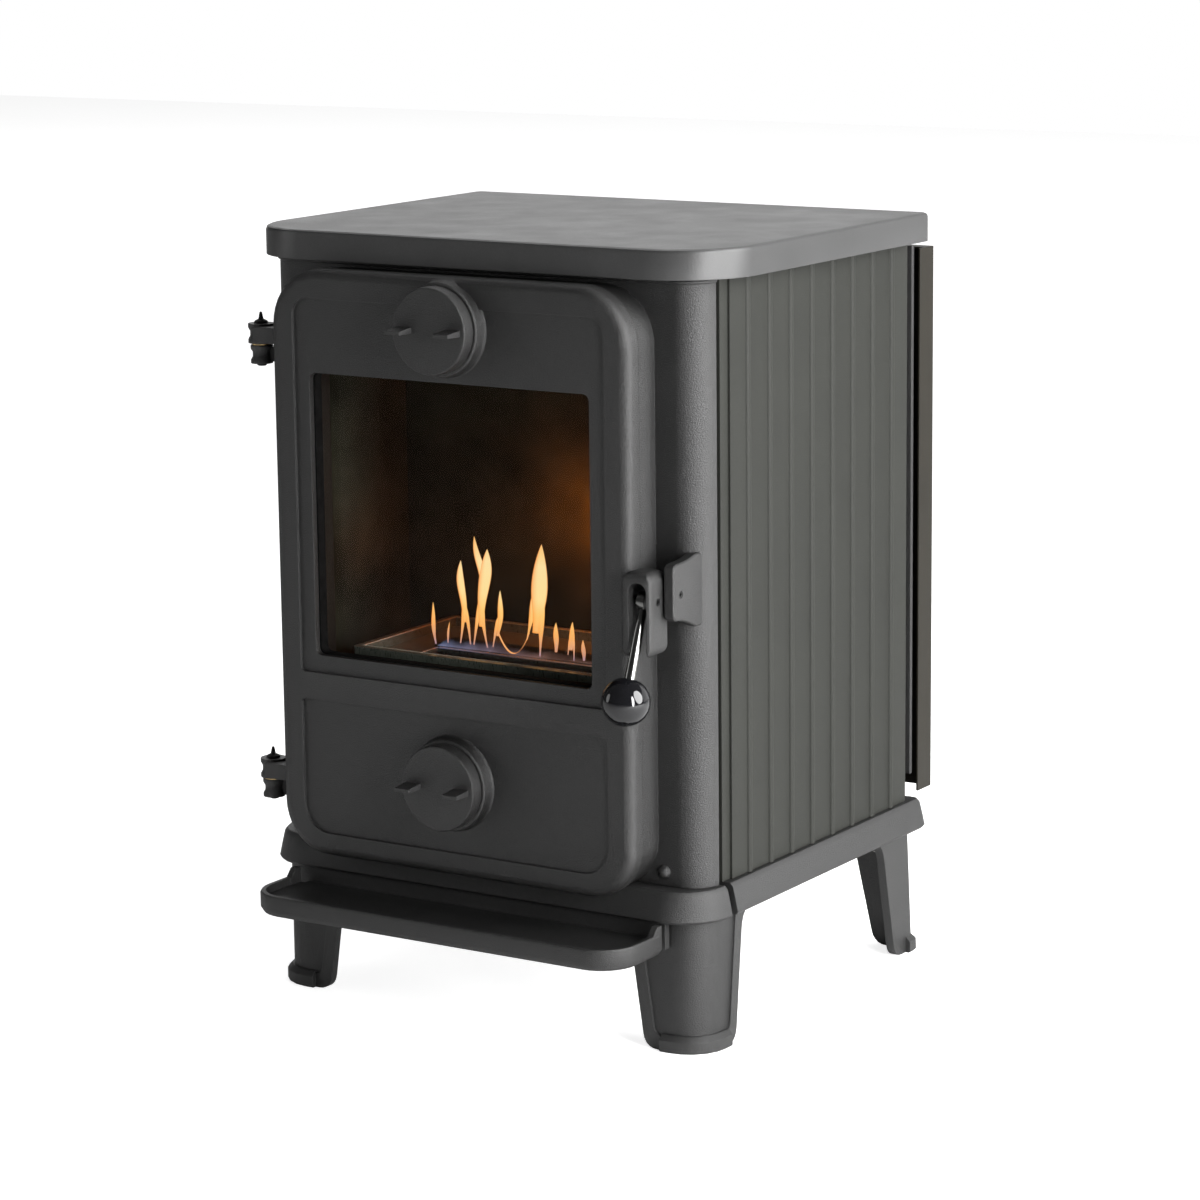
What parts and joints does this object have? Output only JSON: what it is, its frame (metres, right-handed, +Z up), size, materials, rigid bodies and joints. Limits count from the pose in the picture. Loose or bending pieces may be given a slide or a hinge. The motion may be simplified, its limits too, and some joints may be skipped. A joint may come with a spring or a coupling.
{
  "type": "cast-iron box stove",
  "caption": "Small square cast-iron stove on four legs: hinged glazed door with drop latch and two screw-down air valves, ribbed sides, ash lip, rear heat shield, slot burner inside.",
  "frame": {"origin": "on the floor under the middle of the stove's outline", "axes": "+Z up; -Y is the way the door faces; +X to the right of someone facing the door"},
  "size_m": [0.424, 0.4438, 0.596],
  "materials": {
    "black_cast_iron": "stove-blacked, matt with worn edges",
    "top_cast_iron": "stove-blacked, fine grained, slightly burnished",
    "painted_sheet": "matt heat-proof paint",
    "firebox_lining": "sooted fireboard",
    "dark_steel": "heat-darkened",
    "plain_steel": "dull zinc",
    "bright_steel": "polished",
    "brass": "worn",
    "black_knob": "high gloss",
    "glass_rope": "knitted glass-fibre rope",
    "stove_glass": "clear heat-proof glass, slightly smoked"
  },
  "bodies": {
    "stove": {"base_front": "black_cast_iron", "base_plate": "black_cast_iron", "leg_front_left": "black_cast_iron", "leg_front_right": "black_cast_iron", "leg_rear_left": "black_cast_iron", "leg_rear_right": "black_cast_iron", "ash_lip": "black_cast_iron", "front_frame": "black_cast_iron", "side_panel_left": "black_cast_iron", "side_panel_right": "black_cast_iron", "back_plate": "black_cast_iron", "top_plate": "top_cast_iron", "heat_shield": "painted_sheet", "firebox_left": "firebox_lining", "firebox_right": "firebox_lining", "firebox_back": "firebox_lining", "firebox_top": "firebox_lining", "firebox_floor": "dark_steel", "burner_tray": "dark_steel", "hinge_pin_upper": "dark_steel", "hinge_pin_lower": "dark_steel", "burner_box": "plain_steel", "leg_bolt_front_left": "plain_steel", "leg_bolt_front_right": "plain_steel", "leg_bolt_rear_left": "plain_steel", "leg_bolt_rear_right": "plain_steel", "lip_bolt_left": "plain_steel", "lip_bolt_right": "plain_steel", "shield_standoff_lower_left": "plain_steel", "shield_standoff_lower_right": "plain_steel", "shield_standoff_upper_left": "plain_steel", "shield_standoff_upper_right": "plain_steel", "tie_rod_front_left": "plain_steel", "tie_rod_front_right": "plain_steel", "tie_rod_rear_left": "plain_steel", "tie_rod_rear_right": "plain_steel", "catch_pin": "plain_steel", "hinge_washer_upper": "brass", "hinge_washer_lower": "brass"},
    "door_leaf": {"door": "black_cast_iron", "door_glass": "stove_glass", "glass_gasket": "glass_rope", "door_rope": "glass_rope", "glass_clip_upper_left": "plain_steel", "glass_clip_upper_right": "plain_steel", "glass_clip_lower_left": "plain_steel", "glass_clip_lower_right": "plain_steel", "upper_air_stud": "plain_steel", "lower_air_stud": "plain_steel", "latch_axle": "plain_steel"},
    "latch_handle": {"latch_lever": "bright_steel", "latch_hook": "plain_steel", "latch_ball": "black_knob"},
    "upper_thrust_washer": {"upper_air_washer": "plain_steel"},
    "upper_valve": {"upper_air_wheel": "black_cast_iron"},
    "lower_thrust_washer": {"lower_air_washer": "plain_steel"},
    "lower_valve": {"lower_air_wheel": "black_cast_iron"},
    "slider": {"burner_slider": "plain_steel"}
  },
  "joints": [
    {"name": "door_swing", "type": "hinge", "parent": "stove", "child": "door_leaf", "pos_m": [-0.184, -0.1599, 0.346], "axis": [0, 0, -1], "range_deg": [0, 115]},
    {"name": "latch_lift", "type": "hinge", "parent": "door_leaf", "child": "latch_handle", "pos_m": [0.1665, -0.1739, 0.3455], "axis": [-1, 0, 0], "range_deg": [-9, 75]},
    {"name": "upper_valve_travel", "type": "slide", "parent": "door_leaf", "child": "upper_thrust_washer", "axis": [0, -1, 0], "range_m": [0, 0.006]},
    {"name": "upper_valve_turn", "type": "hinge", "parent": "upper_thrust_washer", "child": "upper_valve", "pos_m": [-0.004, -0.1879, 0.5324], "axis": [0, -1, 0], "range_deg": [0, 1080]},
    {"name": "lower_valve_travel", "type": "slide", "parent": "door_leaf", "child": "lower_thrust_washer", "axis": [0, -1, 0], "range_m": [0, 0.006]},
    {"name": "lower_valve_turn", "type": "hinge", "parent": "lower_thrust_washer", "child": "lower_valve", "pos_m": [-0.004, -0.1879, 0.1902], "axis": [0, -1, 0], "range_deg": [0, 1080]},
    {"name": "burner_close", "type": "slide", "parent": "stove", "child": "slider", "axis": [0, -1, 0], "range_m": [0, 0.026]}
  ],
  "couplings": [
    {"joint": "upper_valve_travel", "follows": "upper_valve_turn", "m_per_rad": 0.00031831},
    {"joint": "lower_valve_travel", "follows": "lower_valve_turn", "m_per_rad": 0.00031831}
  ]
}
